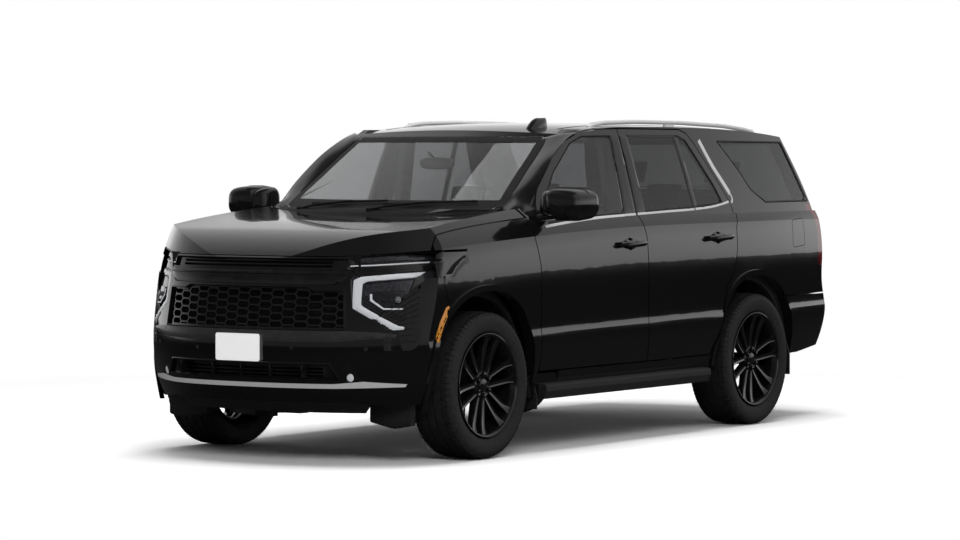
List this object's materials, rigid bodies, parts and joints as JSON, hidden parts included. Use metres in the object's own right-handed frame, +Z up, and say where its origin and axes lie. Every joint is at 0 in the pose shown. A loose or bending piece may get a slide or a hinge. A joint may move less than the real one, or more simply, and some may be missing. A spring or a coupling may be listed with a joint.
{
  "type": "full-size suv",
  "caption": "Large five-door estate vehicle with four wheels, side doors, bonnet, tailgate and a steered front axle.",
  "frame": {"origin": "on the ground, below the middle of the vehicle", "axes": "+X to the vehicle's left, +Y to its rear, +Z up"},
  "size_m": [2.396, 5.3492, 1.9336],
  "materials": {
    "body_paint": "gloss black paint",
    "trim_black": "gloss black trim",
    "grain_black": "grained black plastic",
    "rim_black": "gloss black alloy",
    "tyre": "tyre rubber",
    "lamp": "clear lens over dark housing",
    "lamp_red": "red lens",
    "silver": "satin silver",
    "plate_white": "white blank",
    "glass_tint": "tinted glass",
    "frame_steel": "black painted steel",
    "iron": "cast metal",
    "steel": "steel",
    "seat_leather": "black leather",
    "cabin_plastic": "soft black plastic"
  },
  "bodies": {
    "root": {"chassis_frame": "frame_steel", "floor_pan": "frame_steel", "body_side_left": "body_paint", "body_side_right": "body_paint", "roof_panel": "body_paint", "cowl_panel": "grain_black", "fender_left": "body_paint", "fender_right": "body_paint", "front_bumper": "body_paint", "air_dam": "grain_black", "grille": "trim_black", "headlamps": "lamp", "bumper_strip": "silver", "number_plate": "plate_white", "fixed_glass": "glass_tint", "rear_bumper": "body_paint", "tail_lamps": "lamp_red", "roof_fittings": "silver", "running_boards": "grain_black", "wheel_liners": "grain_black", "suspension": "iron", "engine_block": "iron", "exhaust": "steel", "fuel_tank": "grain_black", "front_seats": "seat_leather", "rear_seats": "seat_leather", "dashboard": "cabin_plastic"},
    "front_left_door": {"door_fl": "body_paint", "glass_fl": "glass_tint"},
    "front_right_door": {"door_fr": "body_paint", "glass_fr": "glass_tint"},
    "rear_left_door": {"door_rl": "body_paint", "glass_rl": "glass_tint"},
    "rear_right_door": {"door_rr": "body_paint", "glass_rr": "glass_tint"},
    "bonnet": {"hood": "body_paint"},
    "tailgate": {"liftgate": "body_paint", "liftgate_glass": "glass_tint"},
    "steering": {"steering_wheel": "cabin_plastic"},
    "left_knuckle": {"knuckle_fl": "iron"},
    "right_knuckle": {"knuckle_fr": "iron"},
    "front_left_wheel": {"wheel_fl": "rim_black", "tyre_fl": "tyre"},
    "front_right_wheel": {"wheel_fr": "rim_black", "tyre_fr": "tyre"},
    "rear_left_wheel": {"wheel_rl": "rim_black", "tyre_rl": "tyre"},
    "rear_right_wheel": {"wheel_rr": "rim_black", "tyre_rr": "tyre"}
  },
  "joints": [
    {"name": "front_left_door_hinge", "type": "hinge", "parent": "root", "child": "front_left_door", "pos_m": [0.996, -1.06, 0.9], "axis": [0.01, 0, -1], "range_deg": [0, 65]},
    {"name": "front_right_door_hinge", "type": "hinge", "parent": "root", "child": "front_right_door", "pos_m": [-0.996, -1.06, 0.9], "axis": [0.01, 0, 1], "range_deg": [0, 65]},
    {"name": "rear_left_door_hinge", "type": "hinge", "parent": "root", "child": "rear_left_door", "pos_m": [0.996, 0.13, 0.9], "axis": [0.01, 0, -1], "range_deg": [0, 65]},
    {"name": "rear_right_door_hinge", "type": "hinge", "parent": "root", "child": "rear_right_door", "pos_m": [-0.996, 0.13, 0.9], "axis": [0.01, 0, 1], "range_deg": [0, 65]},
    {"name": "bonnet_hinge", "type": "hinge", "parent": "root", "child": "bonnet", "pos_m": [0, -1.21488, 1.38391], "axis": [-1, 0, 0], "range_deg": [0, 50]},
    {"name": "tailgate_hinge", "type": "hinge", "parent": "root", "child": "tailgate", "pos_m": [0, 2.10595, 1.84901], "axis": [1, 0, 0], "range_deg": [0, 80]},
    {"name": "left_steer", "type": "hinge", "parent": "root", "child": "left_knuckle", "pos_m": [0.799, -1.67, 0.4169], "axis": [0, 0, 1], "range_deg": [-33, 33]},
    {"name": "right_steer", "type": "hinge", "parent": "root", "child": "right_knuckle", "pos_m": [-0.799, -1.67, 0.4169], "axis": [0, 0, 1], "range_deg": [-33, 33]},
    {"name": "steering_column", "type": "hinge", "parent": "root", "child": "steering", "pos_m": [-0.38496, -0.62003, 1.12005], "axis": [0, 0.9135, 0.4067], "range_deg": [-480, 480]},
    {"name": "front_left_spin", "type": "hinge", "parent": "left_knuckle", "child": "front_left_wheel", "pos_m": [0.871, -1.67, 0.4169], "axis": [1, 0, 0], "continuous": true},
    {"name": "front_right_spin", "type": "hinge", "parent": "right_knuckle", "child": "front_right_wheel", "pos_m": [-0.871, -1.67, 0.4169], "axis": [1, 0, 0], "continuous": true},
    {"name": "rear_left_spin", "type": "hinge", "parent": "root", "child": "rear_left_wheel", "pos_m": [0.871, 1.401, 0.4169], "axis": [1, 0, 0], "continuous": true},
    {"name": "rear_right_spin", "type": "hinge", "parent": "root", "child": "rear_right_wheel", "pos_m": [-0.871, 1.401, 0.4169], "axis": [1, 0, 0], "continuous": true}
  ],
  "couplings": [
    {"joint": "right_steer", "follows": "left_steer", "ratio": 1},
    {"joint": "steering_column", "follows": "left_steer", "ratio": 14.5}
  ]
}
